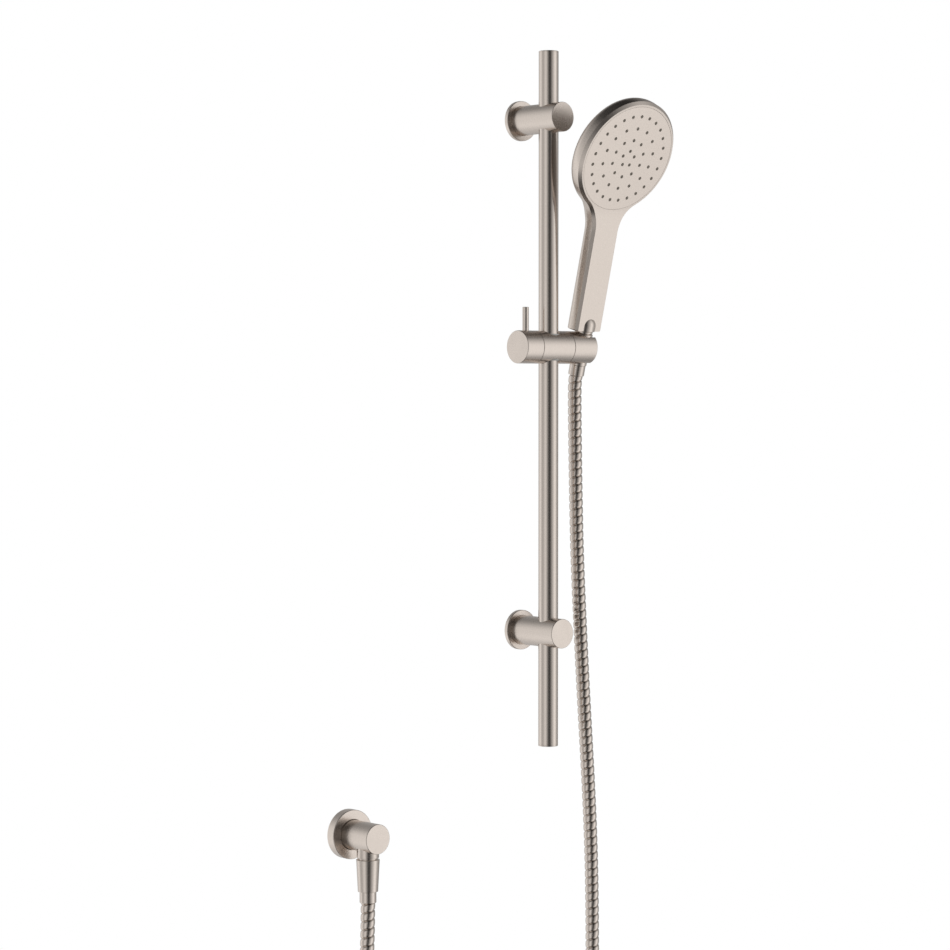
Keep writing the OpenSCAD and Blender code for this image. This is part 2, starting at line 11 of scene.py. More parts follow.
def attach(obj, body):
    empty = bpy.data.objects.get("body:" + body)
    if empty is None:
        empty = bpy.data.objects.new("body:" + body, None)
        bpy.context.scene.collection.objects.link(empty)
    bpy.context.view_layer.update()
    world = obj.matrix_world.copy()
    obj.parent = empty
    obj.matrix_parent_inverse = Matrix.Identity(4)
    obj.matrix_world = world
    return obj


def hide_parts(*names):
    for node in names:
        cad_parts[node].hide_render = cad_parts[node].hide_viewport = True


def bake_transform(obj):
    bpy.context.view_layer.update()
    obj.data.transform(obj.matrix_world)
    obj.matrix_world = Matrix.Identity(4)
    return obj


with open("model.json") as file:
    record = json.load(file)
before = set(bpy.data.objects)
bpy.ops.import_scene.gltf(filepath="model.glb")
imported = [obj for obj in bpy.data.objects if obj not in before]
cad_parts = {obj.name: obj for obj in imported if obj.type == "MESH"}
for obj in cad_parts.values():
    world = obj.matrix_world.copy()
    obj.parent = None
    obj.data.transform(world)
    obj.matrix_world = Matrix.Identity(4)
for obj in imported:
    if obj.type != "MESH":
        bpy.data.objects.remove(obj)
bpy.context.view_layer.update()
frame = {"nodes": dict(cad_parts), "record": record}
scene = bpy.context.scene
scene.view_settings.view_transform = "Standard"

MM = 0.001
NODES = frame["nodes"]
BODY_OF = {n: b for b, group in frame["record"]["behaviour"]["bodies"].items() for n in group}

# ---------------------------------------------------------------- camera

YAW, PITCH = math.radians(40.419), math.radians(1.858)
look = Vector((math.sin(YAW) * math.cos(PITCH), math.cos(YAW) * math.cos(PITCH), -math.sin(PITCH)))
camera_data = bpy.data.cameras.new("camera")
camera_data.lens = 104.6
camera_data.sensor_width = 36
camera_data.clip_end = 50
camera = bpy.data.objects.new("camera", camera_data)
scene.collection.objects.link(camera)
camera.location = Vector((-1861.6, -2115.8, -268.5)) * MM
camera.rotation_mode = "QUATERNION"
camera.rotation_quaternion = look.to_track_quat("-Z", "Y")
scene.camera = camera

# ---------------------------------------------------------------- frames, as in the CAD

HANDLE_TILT, FACE_BEND = math.radians(14.4), math.radians(12.3)
FRONT_Y, BEND_Z, HEAD_RISE = -8, 141.8, 58.2
RAIL_R, POST_R, SLIDER_R, LEVER_R, OUTLET_R = 10, 14.85, 16.55, 3.2, 14.5
RAIL_TOP, RAIL_BOTTOM, BRACKET_GAP = 67, -633, 518
LEVER_X, HOLDER_X = -30.7, 44.2


def shift(x, y, z):
    return Matrix.Translation((x, y, z))


def turn(angle, axis):
    return Matrix.Rotation(angle, 4, axis)


AT_RAIL = shift(0, -44, 0)
AT_SLIDER = shift(0, -44, -230)
AT_HANDSET = AT_SLIDER @ shift(HOLDER_X, 0, 0) @ turn(HANDLE_TILT, "X")
AT_HANDSET_METRES = shift(*(AT_HANDSET.translation * MM)) @ AT_HANDSET.to_3x3().to_4x4()
AT_HEAD = AT_HANDSET @ shift(0, FRONT_Y, BEND_Z) @ turn(FACE_BEND, "X") @ shift(0, 0, HEAD_RISE)
AT_OUTLET = shift(-223.4, 0, -704)
AT_SPIGOT = AT_OUTLET @ shift(0, -33, 0)
AT_VALVE = AT_OUTLET @ shift(0, -13.9, 0)
ALONG_X = turn(math.pi / 2, "Y")
ALONG_Y = turn(-math.pi / 2, "X")

# ---------------------------------------------------------------- mesh helpers (mm in, metres out)


def make(name, verts, faces, place=Matrix()):
    mesh = bpy.data.meshes.new(name)
    mesh.from_pydata([(place @ Vector(v)) * MM for v in verts], [], faces)
    obj = bpy.data.objects.new(name, mesh)
    scene.collection.objects.link(obj)
    edit = bmesh.new()
    edit.from_mesh(mesh)
    bmesh.ops.recalc_face_normals(edit, faces=edit.faces)
    edit.to_mesh(mesh)
    edit.free()
    return obj


def rounded(points, radii, steps=4):
    """The polygon's points with the corners that have a radius drawn as arcs."""
    out = []
    for i, (point, r) in enumerate(zip(points, radii)):
        if not r:
            out.append(tuple(point))
            continue
        here = Vector(point)
        u = (Vector(points[i - 1]) - here).normalized()
        v = (Vector(points[(i + 1) % len(points)]) - here).normalized()
        half = u.angle(v) / 2
        centre = here + (u + v).normalized() * (r / math.sin(half))
        start = here + u * (r / math.tan(half)) - centre
        end = here + v * (r / math.tan(half)) - centre
        sweep = math.atan2(start.x * end.y - start.y * end.x, start.dot(end))
        for k in range(steps + 1):
            a = sweep * k / steps
            x = start.x * math.cos(a) - start.y * math.sin(a)
            y = start.x * math.sin(a) + start.y * math.cos(a)
            out.append((centre.x + x, centre.y + y))
    return out


def lathe_mesh(profile, sides, loop):
    """Vertices and faces of a profile of (radius, height) turned about z."""
    verts, rings = [], []
    for r, z in profile:
        if r < 1e-6:
            rings.append([len(verts)])
            verts.append((0, 0, z))
        else:
            rings.append(list(range(len(verts), len(verts) + sides)))
            angles = [2 * math.pi * s / sides for s in range(sides)]
            verts += [(r * math.cos(a), r * math.sin(a), z) for a in angles]
    faces = []
    for a, b in list(zip(rings, rings[1:])) + ([(rings[-1], rings[0])] if loop else []):
        for s in range(sides):
            t = (s + 1) % sides
            corners = [a[s % len(a)], a[t % len(a)], b[t % len(b)], b[s % len(b)]]
            corners = list(dict.fromkeys(corners))
            if len(corners) > 2:
                faces.append(corners)
    return verts, faces


def lathe(name, points, radii, place, sides=128, loop=False, steps=4):
    profile = rounded(points, radii, steps)
    verts, faces = lathe_mesh(profile, sides, loop)
    return make(name, verts, faces, place)


# Turns a cutter so that its facets miss the other pieces' corners
OFF_TURN = 0.371


def bar(r, z0, z1, place, sides, r1=None):
    """A cutter: a cylinder or cone from z0 to z1."""
    top = r if r1 is None else r1
    profile = [(0, z0), (r, z0), (top, z1), (0, z1)]
    return lathe("cut", profile, [0] * 4, place @ turn(OFF_TURN, "Z"), sides)


def settle(obj):
    """Applies the modifiers and fills a face that they left out."""
    mesh = bpy.data.meshes.new_from_object(obj.evaluated_get(bpy.context.evaluated_depsgraph_get()))
    obj.modifiers.clear()
    obj.data = mesh
    edit = bmesh.new()
    edit.from_mesh(mesh)
    bmesh.ops.remove_doubles(edit, verts=edit.verts[:], dist=2e-7)
    bmesh.ops.holes_fill(edit, edges=[e for e in edit.edges if e.is_boundary])
    edit.to_mesh(mesh)
    edit.free()


def carve(obj, *cutters, operation="DIFFERENCE"):
    for cutter in cutters:
        tool = obj.modifiers.new("carve", "BOOLEAN")
        tool.operation = operation
        tool.solver = "EXACT"
        tool.object = cutter
        settle(obj)
        bpy.data.objects.remove(cutter)


def fuse(obj, *others):
    carve(obj, *others, operation="UNION")


def soften(obj, angle=32):
    """Smooth shading with crisp edges, flat faces kept flat."""
    mesh = obj.data
    mesh.polygons.foreach_set("use_smooth", [True] * len(mesh.polygons))
    mesh.set_sharp_from_angle(angle=math.radians(angle))
    even = obj.modifiers.new("even", "WEIGHTED_NORMAL")
    even.keep_sharp = True


def stand_for(obj, material, slot, *nodes, angle=32):
    """Gives the piece its finish and puts it in the nodes' place."""
    obj.data.materials.clear()
    obj.data.materials.append(material)
    soften(obj, angle)
    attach(obj, BODY_OF[nodes[0]])
    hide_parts(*nodes)


# ---------------------------------------------------------------- materials


def add_node(tree, kind, **values):
    made = tree.nodes.new(kind)
    for key, value in values.items():
        setattr(made, key, value)
    return made


def add_ramp(tree, stops):
    """A colour ramp through stops of (position, colour)."""
    ramp = add_node(tree, "ShaderNodeValToRGB")
    band = ramp.color_ramp
    while len(band.elements) > 1:
        band.elements.remove(band.elements[-1])
    for i, (place, colour) in enumerate(stops):
        stop = band.elements[0] if i == 0 else band.elements.new(place)
        stop.position = place
        stop.color = (*colour, 1)
    return ramp


class Finish:
    """A material with its node tree at hand."""

    def __init__(self, name):
        self.material = bpy.data.materials.new(name)
        self.material.use_nodes = True
        self.tree = self.material.node_tree
        self.shader = self.tree.nodes["Principled BSDF"]

    def set(self, **values):
        for key, value in values.items():
            self.shader.inputs[key.replace("_", " ")].default_value = value
        return self

    def link(self, a, b):
        self.tree.links.new(a, b)

    def grain(self, scale, detail=3.0, roughness=0.6):
        """Noise in object space, stretched by scale per metre."""
        coords = add_node(self.tree, "ShaderNodeTexCoord")
        mapping = add_node(self.tree, "ShaderNodeMapping")
        mapping.inputs["Scale"].default_value = scale
        noise = add_node(self.tree, "ShaderNodeTexNoise")
        noise.inputs["Scale"].default_value = 1.0
        noise.inputs["Detail"].default_value = detail
        noise.inputs["Roughness"].default_value = roughness
        self.link(coords.outputs["Object"], mapping.inputs["Vector"])
        self.link(mapping.outputs["Vector"], noise.inputs["Vector"])
        return noise.outputs["Fac"]

    def ramp(self, value, stops):
        ramp = add_ramp(self.tree, stops)
        self.link(value, ramp.inputs["Fac"])
        return ramp.outputs["Color"]

    def spread(self, value, low, high):
        """The middle part of a noise value, spread from low to high."""
        ranged = add_node(self.tree, "ShaderNodeMapRange")
        ranged.inputs["From Min"].default_value = 0.3
        ranged.inputs["From Max"].default_value = 0.7
        ranged.inputs["To Min"].default_value = low
        ranged.inputs["To Max"].default_value = high
        self.link(value, ranged.inputs["Value"])
        return ranged.outputs["Result"]

    def bump(self, value, strength, distance):
        bump = add_node(self.tree, "ShaderNodeBump")
        bump.inputs["Strength"].default_value = strength
        bump.inputs["Distance"].default_value = distance
        self.link(value, bump.inputs["Height"])
        self.link(bump.outputs["Normal"], self.shader.inputs["Normal"])


def shade(colour, factor):
    return tuple(c * factor for c in colour)


def nickel(name, colour, rough, brush, depth=0.06):
    """Brushed nickel: fine lines along brush, a mottled tone and a little uneven gloss."""
    f = Finish(name).set(Metallic=1.0)
    lines = f.grain(brush, 4.0, 0.7)
    mottle = f.grain((700, 700, 700), 2.0, 0.5)
    f.link(f.ramp(mottle, [(0.3, shade(colour, 0.975)), (0.7, shade(colour, 1.02))]),
           f.shader.inputs["Base Color"])
    f.link(f.spread(lines, rough - 0.03, rough + 0.05), f.shader.inputs["Roughness"])
    f.bump(lines, depth, 0.00002)
    return f.material


def dull(name, colour, rough, metallic=0.0, grain=900, depth=0.2):
    """Moulded plastic, rubber and plain turned metal, with a fine moulded or machined grain."""
    f = Finish(name).set(Metallic=metallic)
    fine = f.grain((grain, grain, grain), 3.0, 0.6)
    f.link(f.ramp(fine, [(0.3, shade(colour, 0.85)), (0.7, shade(colour, 1.12))]),
           f.shader.inputs["Base Color"])
    f.link(f.spread(fine, rough - 0.05, rough + 0.06), f.shader.inputs["Roughness"])
    f.bump(fine, depth, 0.00003)
    return f.material


WARM = (0.70, 0.625, 0.565)
rail_nickel = nickel("nickel_rail", WARM, 0.20, (60, 60, 5000))
turned_x = nickel("nickel_turned_x", WARM, 0.27, (5000, 60, 60))
turned_y = nickel("nickel_turned_y", WARM, 0.27, (60, 5000, 60))
turned_z = nickel("nickel_turned_z", WARM, 0.21, (60, 60, 5000))
handset_nickel = nickel("nickel_handset", WARM, 0.28, (4000, 300, 300))
face_nickel = nickel("nickel_face", shade(WARM, 1.09), 0.30, (1500, 1500, 1500))
hose_nickel = nickel("nickel_hose", WARM, 0.21, (300, 300, 2500))
rubber = dull("rubber_dark", (0.27, 0.235, 0.195), 0.45)
seal_rubber = dull("rubber_seal", (0.02, 0.02, 0.022), 0.5)
dark_plastic = dull("plastic_dark", (0.09, 0.09, 0.095), 0.42)
pale_plastic = dull("plastic_pale", (0.52, 0.51, 0.49), 0.40)
screw_steel = dull("steel_screw", (0.50, 0.49, 0.48), 0.34, 1.0, 1600)
brass = dull("brass_plain", (0.76, 0.56, 0.27), 0.30, 1.0, 1600)

# ---------------------------------------------------------------- hose

# The same route as in the CAD, in metres, from the handset's ferrule to the outlet's
ROUTE = [
    (0.0442, -0.036912, -0.257605), (0.0442, -0.0355, -0.265), (0.0443, -0.035, -0.2725),
    (0.0444, -0.0348, -0.285), (0.0446, -0.0349, -0.31), (0.0449, -0.0354, -0.35),
    (0.0453, -0.036, -0.39), (0.046, -0.0366, -0.43), (0.0476, -0.037, -0.47),
    (0.05, -0.037, -0.51), (0.0526, -0.037, -0.55), (0.0554, -0.037, -0.59),
    (0.0584, -0.037, -0.63), (0.0614, -0.037, -0.67), (0.064, -0.037, -0.71),
    (0.066, -0.037, -0.75), (0.0672, -0.037, -0.79), (0.0678, -0.037, -0.835),
    (0.0676, -0.037, -0.885), (0.0654, -0.037, -0.936), (0.0594, -0.037, -0.987),
    (0.0474, -0.0365, -1.036), (0.027, -0.036, -1.081), (-0.002, -0.036, -1.1185),
    (-0.038, -0.0355, -1.1415), (-0.078, -0.035, -1.1495), (-0.118, -0.0345, -1.1425),
    (-0.154, -0.034, -1.1195), (-0.183, -0.0335, -1.083), (-0.203, -0.033, -1.038),
    (-0.2154, -0.033, -0.989), (-0.2222, -0.033, -0.938), (-0.2252, -0.033, -0.886),
    (-0.2252, -0.033, -0.834), (-0.2239, -0.033, -0.795), (-0.2234, -0.033, -0.7689),
]
START_WAY = Vector((0, math.sin(HANDLE_TILT), -math.cos(HANDLE_TILT)))
END_WAY = Vector((0, 0, 1))
HOSE_PITCH = 8.1
# (share of a turn, radius): a convex band and the narrow groove where the next one locks in
HOSE_BAND = [(0.0, 5.8), (0.06, 6.2), (0.13, 6.72), (0.3, 6.95), (0.5, 7.0), (0.7, 6.95),
             (0.87, 6.7), (0.94, 6.2)]


class Way:
    """A smooth line through points, measured along its length, with a frame that doesn't twist."""

    def __init__(self, points, step=0.5):
        fine = []
        for i in range(1, len(points) - 2):
            a, b, c, d = points[i - 1:i + 3]
            count = max(2, int((c - b).length / step * 2))
            for k in range(count):
                t = k / count
                fine.append(0.5 * (2 * b + (c - a) * t + (2 * a - 5 * b + 4 * c - d) * t * t
                                   + (3 * b - a - 3 * c + d) * t ** 3))
        fine.append(points[-2])
        along = [0.0]
        for p, q in zip(fine, fine[1:]):
            along.append(along[-1] + (q - p).length)
        self.length = along[-1]
        count = int(self.length / step)
        self.step = self.length / count
        self.centres, i = [], 0
        for k in range(count + 1):
            s = min(k * self.step, self.length)
            while i < len(along) - 2 and along[i + 1] < s:
                i += 1
            t = (s - along[i]) / max(along[i + 1] - along[i], 1e-12)
            self.centres.append(fine[i].lerp(fine[i + 1], t))
        last = len(self.centres) - 1
        self.ways = [(self.centres[min(k + 1, last)] - self.centres[max(k - 1, 0)]).normalized()
                     for k in range(last + 1)]
        side = self.ways[0].cross(Vector((0, 1, 0))).normalized()
        if side.length < 0.5:
            side = Vector((1, 0, 0))
        self.sides = []
        for way in self.ways:
            side = (side - way * side.dot(way)).normalized()
            self.sides.append(side.copy())

    def at(self, s):
        """Centre and the two cross directions at a length along the line."""
        x = min(max(s / self.step, 0), len(self.centres) - 1)
        i = min(int(x), len(self.centres) - 2)
        t = x - i
        centre = self.centres[i].lerp(self.centres[i + 1], t)
        u = self.sides[i].lerp(self.sides[i + 1], t).normalized()
        way = self.ways[i].lerp(self.ways[i + 1], t).normalized()
        return centre, u, way.cross(u)


def spiral_tube(name, way, s0, s1, pitch, band, sides, bore):
    """A tube from s0 to s1 whose outside is one continuous helical band, with a plain bore."""

    def radius(phase):
        phase %= 1
        for (p, r), (q, n) in zip(band, band[1:] + [(1 + band[0][0], band[0][1])]):
            if p <= phase <= q:
                return r + (n - r) * (phase - p) / (q - p)
        return band[0][1]

    verts, place = [], {}

    def point(s, j, r):
        centre, u, v = way.at(s)
        a = 2 * math.pi * j / sides
        verts.append(centre + u * (r * math.cos(a)) + v * (r * math.sin(a)))
        return len(verts) - 1

    rows = [(t + p, r) for t in range(int(s0 / pitch) - 2, int(s1 / pitch) + 3) for p, r in band]
    first = [point(s0, j, radius(s0 / pitch - j / sides)) for j in range(sides)]
    last = [point(s1, j, radius(s1 / pitch - j / sides)) for j in range(sides)]

    def vertex(i, j):
        if j == sides:
            i, j = i + len(band), 0
        i = min(max(i, 0), len(rows) - 1)
        if (i, j) not in place:
            turns, r = rows[i]
            s = (turns + j / sides) * pitch
            place[i, j] = (first[j] if s <= s0 + 0.02 else
                           last[j] if s >= s1 - 0.02 else point(s, j, r))
        return place[i, j]

    faces = []
    for i in range(-len(band), len(rows) - 1):
        for j in range(sides):
            if i < 0 and j < sides - 1:
                continue
            corners = [vertex(i, j), vertex(i, j + 1), vertex(i + 1, j + 1), vertex(i + 1, j)]
            corners = list(dict.fromkeys(corners))
            if len(corners) > 2:
                faces.append(corners)
    count = max(1, round((s1 - s0) / 6))
    inner = [[point(s0 + (s1 - s0) * k / count, j, bore) for j in range(sides)]
             for k in range(count + 1)]
    for a, b in zip([first] + inner, inner + [last]):
        for j in range(sides):
            n = (j + 1) % sides
            faces.append([a[j], b[j], b[n], a[n]])
    return make(name, verts, faces)


# The hose goes on for 4 mm inside each ferrule.
# The outermost two points only steer the curve's ends.
route = [Vector(p) / MM for p in ROUTE]
for further in (4, 6):
    route = [route[0] - START_WAY * further] + route + [route[-1] + END_WAY * further]
hose_way = Way(route)
# Where its four lengths meet
CUTS = [0, 92, 262, 492, hose_way.length]
HOSE = [("hose_top", "holder", "handset"), ("hose_upper", "slider", "holder"),
        ("hose_run", "liner", "slider")]


def hose_piece(name, s0, s1):
    piece = spiral_tube(name, hose_way, s0, s1, HOSE_PITCH, HOSE_BAND, 32, 5.3)
    piece.data.materials.append(hose_nickel)
    piece.data.polygons.foreach_set("use_smooth", [True] * len(piece.data.polygons))
    piece.data.set_sharp_from_angle(angle=math.radians(60))
    return piece


def declare():
    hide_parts("hose_tube")


for (name, lower, upper), s0, s1 in zip(HOSE, CUTS, CUTS[1:]):
    piece = hose_piece(name, s0, s1)
    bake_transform(piece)
    declare()
loop = hose_piece("hose_loop", CUTS[3], CUTS[4])
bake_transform(loop)
declare()

# ---------------------------------------------------------------- rail and brackets

CAP_RIM, RAIL_BORE = 1.5, 8.8
rail = lathe("rail_tube_detail",
             [(RAIL_R, RAIL_BOTTOM + CAP_RIM), (RAIL_R, RAIL_TOP - CAP_RIM),
              (RAIL_BORE, RAIL_TOP - CAP_RIM), (RAIL_BORE, RAIL_BOTTOM + CAP_RIM)],
             [0.15, 0.15, 0, 0], AT_RAIL, sides=144, loop=True, steps=2)
stand_for(rail, rail_nickel, "brushed_nickel", "rail_tube")
CAP = [(0, 0), (RAIL_R, 0), (RAIL_R, -CAP_RIM), (8.75, -CAP_RIM), (8.75, -9.5), (0, -9.5)]
for node, place in [("top_end_cap", AT_RAIL @ shift(0, 0, RAIL_TOP)),
                    ("bottom_end_cap", AT_RAIL @ shift(0, 0, RAIL_BOTTOM) @ turn(math.pi, "X"))]:
    cap = lathe(node + "_detail", CAP, [0, 0.5, 0.15, 0, 0.3, 0], place, sides=144)
    stand_for(cap, turned_z, "brushed_nickel", node)

for side, z in [("upper", 0), ("lower", -BRACKET_GAP)]:
    at = shift(0, 0, z)
    post = lathe(side + "_bracket_post_detail",
                 [(0, -65.4), (POST_R, -65.4), (POST_R, -2), (9.05, -2), (9.05, -24.5), (0, -24.5)],
                 [0, 0.6, 0, 0, 0, 0], at @ ALONG_Y, sides=160)
    carve(post,
          bar(10.05, -20.3, 20.1, at @ AT_RAIL, 144),
          bar(2.05, -43, -24, at @ ALONG_Y, 32),
          bar(2.05, -17.3, -8.1, at @ shift(0.037, -12.023, 0) @ turn(0.17, "Z"), 34))
    stand_for(post, turned_y, "brushed_nickel", side + "_bracket_post")
    flange = lathe(side + "_wall_flange_detail",
                   [(14.9, -4.3), (20.2, -4.3), (20.2, 0), (18.7, 0), (18.7, -3.3), (14.9, -3.3)],
                   [0.25, 0.6, 0.2, 0, 0, 0], at @ ALONG_Y, sides=160, loop=True)
    stand_for(flange, turned_y, "brushed_nickel", side + "_wall_flange")

# ---------------------------------------------------------------- slider

body = lathe("slider_body_detail", [(0, -19.75), (SLIDER_R, -19.75), (SLIDER_R, 21.95), (0, 21.95)],
             [0, 0.35, 0.35, 0], AT_SLIDER @ ALONG_X, sides=180)
carve(body,
      bar(11.55, -18, 18, AT_SLIDER, 144),
      bar(6.0, -18.2, 0, AT_SLIDER @ ALONG_X, 64),
      bar(3.05, -21, 0, AT_SLIDER @ ALONG_X, 48),
      bar(2.65, 0.3, 23, AT_SLIDER @ shift(0, 0.031, 0.017) @ ALONG_X @ turn(0.13, "Z"), 42))
stand_for(body, turned_x, "brushed_nickel", "slider_body")

knob = lathe("lock_knob_detail", [(0, -41.5), (SLIDER_R, -41.5), (SLIDER_R, -20.05), (0, -20.05)],
             [0, 0.7, 0.35, 0], AT_SLIDER @ ALONG_X, sides=180)
carve(knob,
      bar(3.05, -35.9, -19, AT_SLIDER @ ALONG_X, 48),
      bar(LEVER_R + 0.05, 5, 18, AT_SLIDER @ shift(LEVER_X, 0, 0), 64))
stand_for(knob, turned_x, "brushed_nickel", "lock_knob")

lever = lathe("lock_lever_detail", [(0, 5.1), (LEVER_R, 5.1), (LEVER_R, 40), (0, 40)],
              [0, 0, 0.5, 0], AT_SLIDER @ shift(LEVER_X, 0, 0), sides=72)
stand_for(lever, turned_z, "brushed_nickel", "lock_lever")


def seat_radius(z):
    return 8.95 + 1.15 * (z + 17) / 34


holder = lathe("handset_holder_detail",
               [(0, 22.25), (SLIDER_R, 22.25), (SLIDER_R, 52.7), (0, 52.7)],
               [0, 0.35, 0.6, 0], AT_SLIDER @ ALONG_X, sides=180)
wedge = [(x, y, z) for x in (0, 9.5) for y, z in
         [(-seat_radius(20), 20), (seat_radius(20), 20),
          (seat_radius(-20), -20), (-seat_radius(-20), -20)]]
wedge_faces = [(0, 1, 2, 3), (7, 6, 5, 4), (0, 4, 5, 1), (1, 5, 6, 2), (2, 6, 7, 3), (3, 7, 4, 0)]
carve(holder,
      bar(seat_radius(-20), -20, 20, AT_HANDSET, 128, r1=seat_radius(20)),
      make("cut", wedge, wedge_faces, AT_HANDSET),
      bar(2.7, 21, HOLDER_X, AT_SLIDER @ ALONG_X, 48),
      bar(5.1, 29.4, HOLDER_X, AT_SLIDER @ ALONG_X, 64),
      bar(10.35, 11, 20, AT_HANDSET, 116, r1=12.3))
stand_for(holder, turned_x, "brushed_nickel", "handset_holder")

# ---------------------------------------------------------------- handset

HEAD_R, HANDLE_HALF, HANDLE_LOW, NECK_R = 57.5, 15.2, 18.7, 37.0
NECK_X = HANDLE_HALF + NECK_R
NECK_ANGLE = math.acos(NECK_X / (HEAD_R + NECK_R))
NECK_Z = -(HEAD_R + NECK_R) * math.sin(NECK_ANGLE)
HEAD_Z = BEND_Z + HEAD_RISE
RIM, FLARE, WALL = 3.0, 2.8, 1.6


def arc(x, z, r, a0, a1, steps):
    return [(x + r * math.cos(a0 + (a1 - a0) * k / steps),
             z + r * math.sin(a0 + (a1 - a0) * k / steps)) for k in range(steps + 1)]


def outline(inset, corner=1.4, low=HANDLE_LOW):
    """The handset's outline drawn in by inset, as (x, z), with its flat end at low."""
    r = min(max(corner - inset, 0.1), corner)
    x, z = HANDLE_HALF - inset - r, low + r
    return (
        arc(-x, z, r, math.pi, 1.5 * math.pi, 6)
        + arc(x, z, r, 1.5 * math.pi, 2 * math.pi, 6)
        + arc(NECK_X, HEAD_Z + NECK_Z, NECK_R + inset, math.pi, math.pi - NECK_ANGLE, 36)
        + arc(0, HEAD_Z, HEAD_R - inset, 0.02 - NECK_ANGLE, math.pi - 0.02 + NECK_ANGLE, 190)
        + arc(-NECK_X, HEAD_Z + NECK_Z, NECK_R + inset, NECK_ANGLE, 0, 36)
    )


# Where the depth starts to grow and how far up it goes on
SWELL_Z, SWELL_RISE = 105, 70


def deeper(z):
    """The depth's scale at a height: the head is a little deeper than the handle."""
    t = min(max((z - SWELL_Z) / SWELL_RISE, 0), 1)
    return 0.975 + 0.05 * t * t * (3 - 2 * t)


def slab(name, rings, corner=1.4, low=HANDLE_LOW):
    """A closed slab through rings of (inset, depth), cut into rows where its depth changes."""
    loops = [[(x, depth, z) for x, z in outline(inset, corner, low)] for inset, depth in rings]
    n = len(loops[0])
    verts = [v for ring in loops for v in ring]
    faces = [(k * n + s, k * n + (s + 1) % n, (k + 1) * n + (s + 1) % n, (k + 1) * n + s)
             for k in range(len(loops) - 1) for s in range(n)]
    faces += [tuple(range(n)), tuple(range(len(verts) - 1, len(verts) - n - 1, -1))]
    obj = make(name, verts, faces)
    rows(obj, [SWELL_Z + SWELL_RISE * k / 28 for k in range(29)])
    for v in obj.data.vertices:
        depth = v.co.y / MM * deeper(v.co.z / MM)
        v.co.y = (FRONT_Y + depth) * MM
    return obj


def rows(obj, heights):
    edit = bmesh.new()
    edit.from_mesh(obj.data)
    for z in heights:
        bmesh.ops.bisect_plane(edit, geom=edit.verts[:] + edit.edges[:] + edit.faces[:],
                               plane_co=(0, 0, z * MM), plane_no=(0, 0, 1), dist=1e-7)
    edit.to_mesh(obj.data)
    edit.free()


BEND_HALF = 7.0


def bend(obj):
    """Bends the straight handset at its neck and puts it in the holder."""
    rows(obj, [BEND_Z + 1.4 * k for k in range(-5, 6)])
    radius = 2 * BEND_HALF / FACE_BEND
    low = BEND_Z - BEND_HALF
    for v in obj.data.vertices:
        x, y, z = v.co / MM
        reach = min(max(z - low, 0), 2 * BEND_HALF)
        a = reach / radius
        out = y - FRONT_Y
        over = z - low - reach
        y = FRONT_Y - radius + (radius + out) * math.cos(a) - over * math.sin(a)
        z = low + (radius + out) * math.sin(a) + over * math.cos(a)
        v.co = (AT_HANDSET @ Vector((x, y, z))) * MM


def bullet(r, low, back):
    """The inlet's round nose, which bulges through the front plate: the part before y = back."""
    steps = 24
    nose = [(r * math.cos(a), NOSE_Z + r * math.sin(a))
            for a in [math.pi / 2 * k / steps for k in range(steps + 1)]]
    obj = lathe("bullet", [(0, low), (r, low)] + nose, [0, 0.35] + [0] * len(nose),
                turn(OFF_TURN, "Z"), sides=160)
    box = [(x, y, z) for x in (-20.3, 20.1) for y in (back, 20) for z in (0.3, 40)]
    faces = [(0, 1, 3, 2), (4, 6, 7, 5), (0, 4, 5, 1), (2, 3, 7, 6), (0, 2, 6, 4), (1, 5, 7, 3)]
    carve(obj, make("cut", box, faces))
    return obj


NOSE_R, NOSE_Z = 11.1, 23.6
# The crowned back, as rings of (inset, depth)
CROWN = [(7.2 * (1 - math.cos(a)) - FLARE, 9.6 + 8.8 * math.sin(a))
         for a in [math.pi / 16 * k for k in range(9)]]
rear = slab("handset_rear_shell_detail",
            [(0.55 - FLARE, RIM + 0.02), (0.5 - FLARE, RIM + 0.12), (0.2 - FLARE, 5.8)] + CROWN)
carve(rear,
      slab("cut", [(WALL + 0.5 - FLARE, RIM - 1), (WALL + 0.5 - FLARE, RIM + 0.2)]
           + [(WALL + i, d - WALL * (d - 6) / 12.4) for i, d in CROWN],
           corner=3, low=HANDLE_LOW + WALL),
      bar(8.7, 15, 22.6, Matrix(), 96))
bend(rear)
stand_for(rear, handset_nickel, "handset_nickel", "handset_rear_shell", angle=28)

# A shallow tray with a wide chamfer.
# The rear shell starts a little further in, so the seam has a fine ledge.
front = slab("handset_front_plate_detail",
             [(0.2 - FLARE, RIM), (0.15 - FLARE, RIM - 0.12), (-0.05, 0.12), (0.1, 0)])
carve(front,
      bullet(NOSE_R + 0.06, 15, -3),
      slab("cut", [(1.9, WALL), (WALL - FLARE, RIM + 0.2), (WALL - FLARE, RIM + 1)],
           corner=3, low=HANDLE_LOW + WALL),
      bar(55.3, -1, RIM + 2, shift(0, FRONT_Y, HEAD_Z) @ ALONG_Y, 240))
bend(front)
stand_for(front, handset_nickel, "handset_nickel", "handset_front_plate", angle=28)

# The nozzles' four rings: (radius, how many)
RINGS = [(45, 25), (32, 14), (19.5, 10), (8, 5)]
NOZZLES = [(r * math.sin(2 * math.pi * k / n), 0, r * math.cos(2 * math.pi * k / n))
           for r, n in RINGS for k in range(n)]


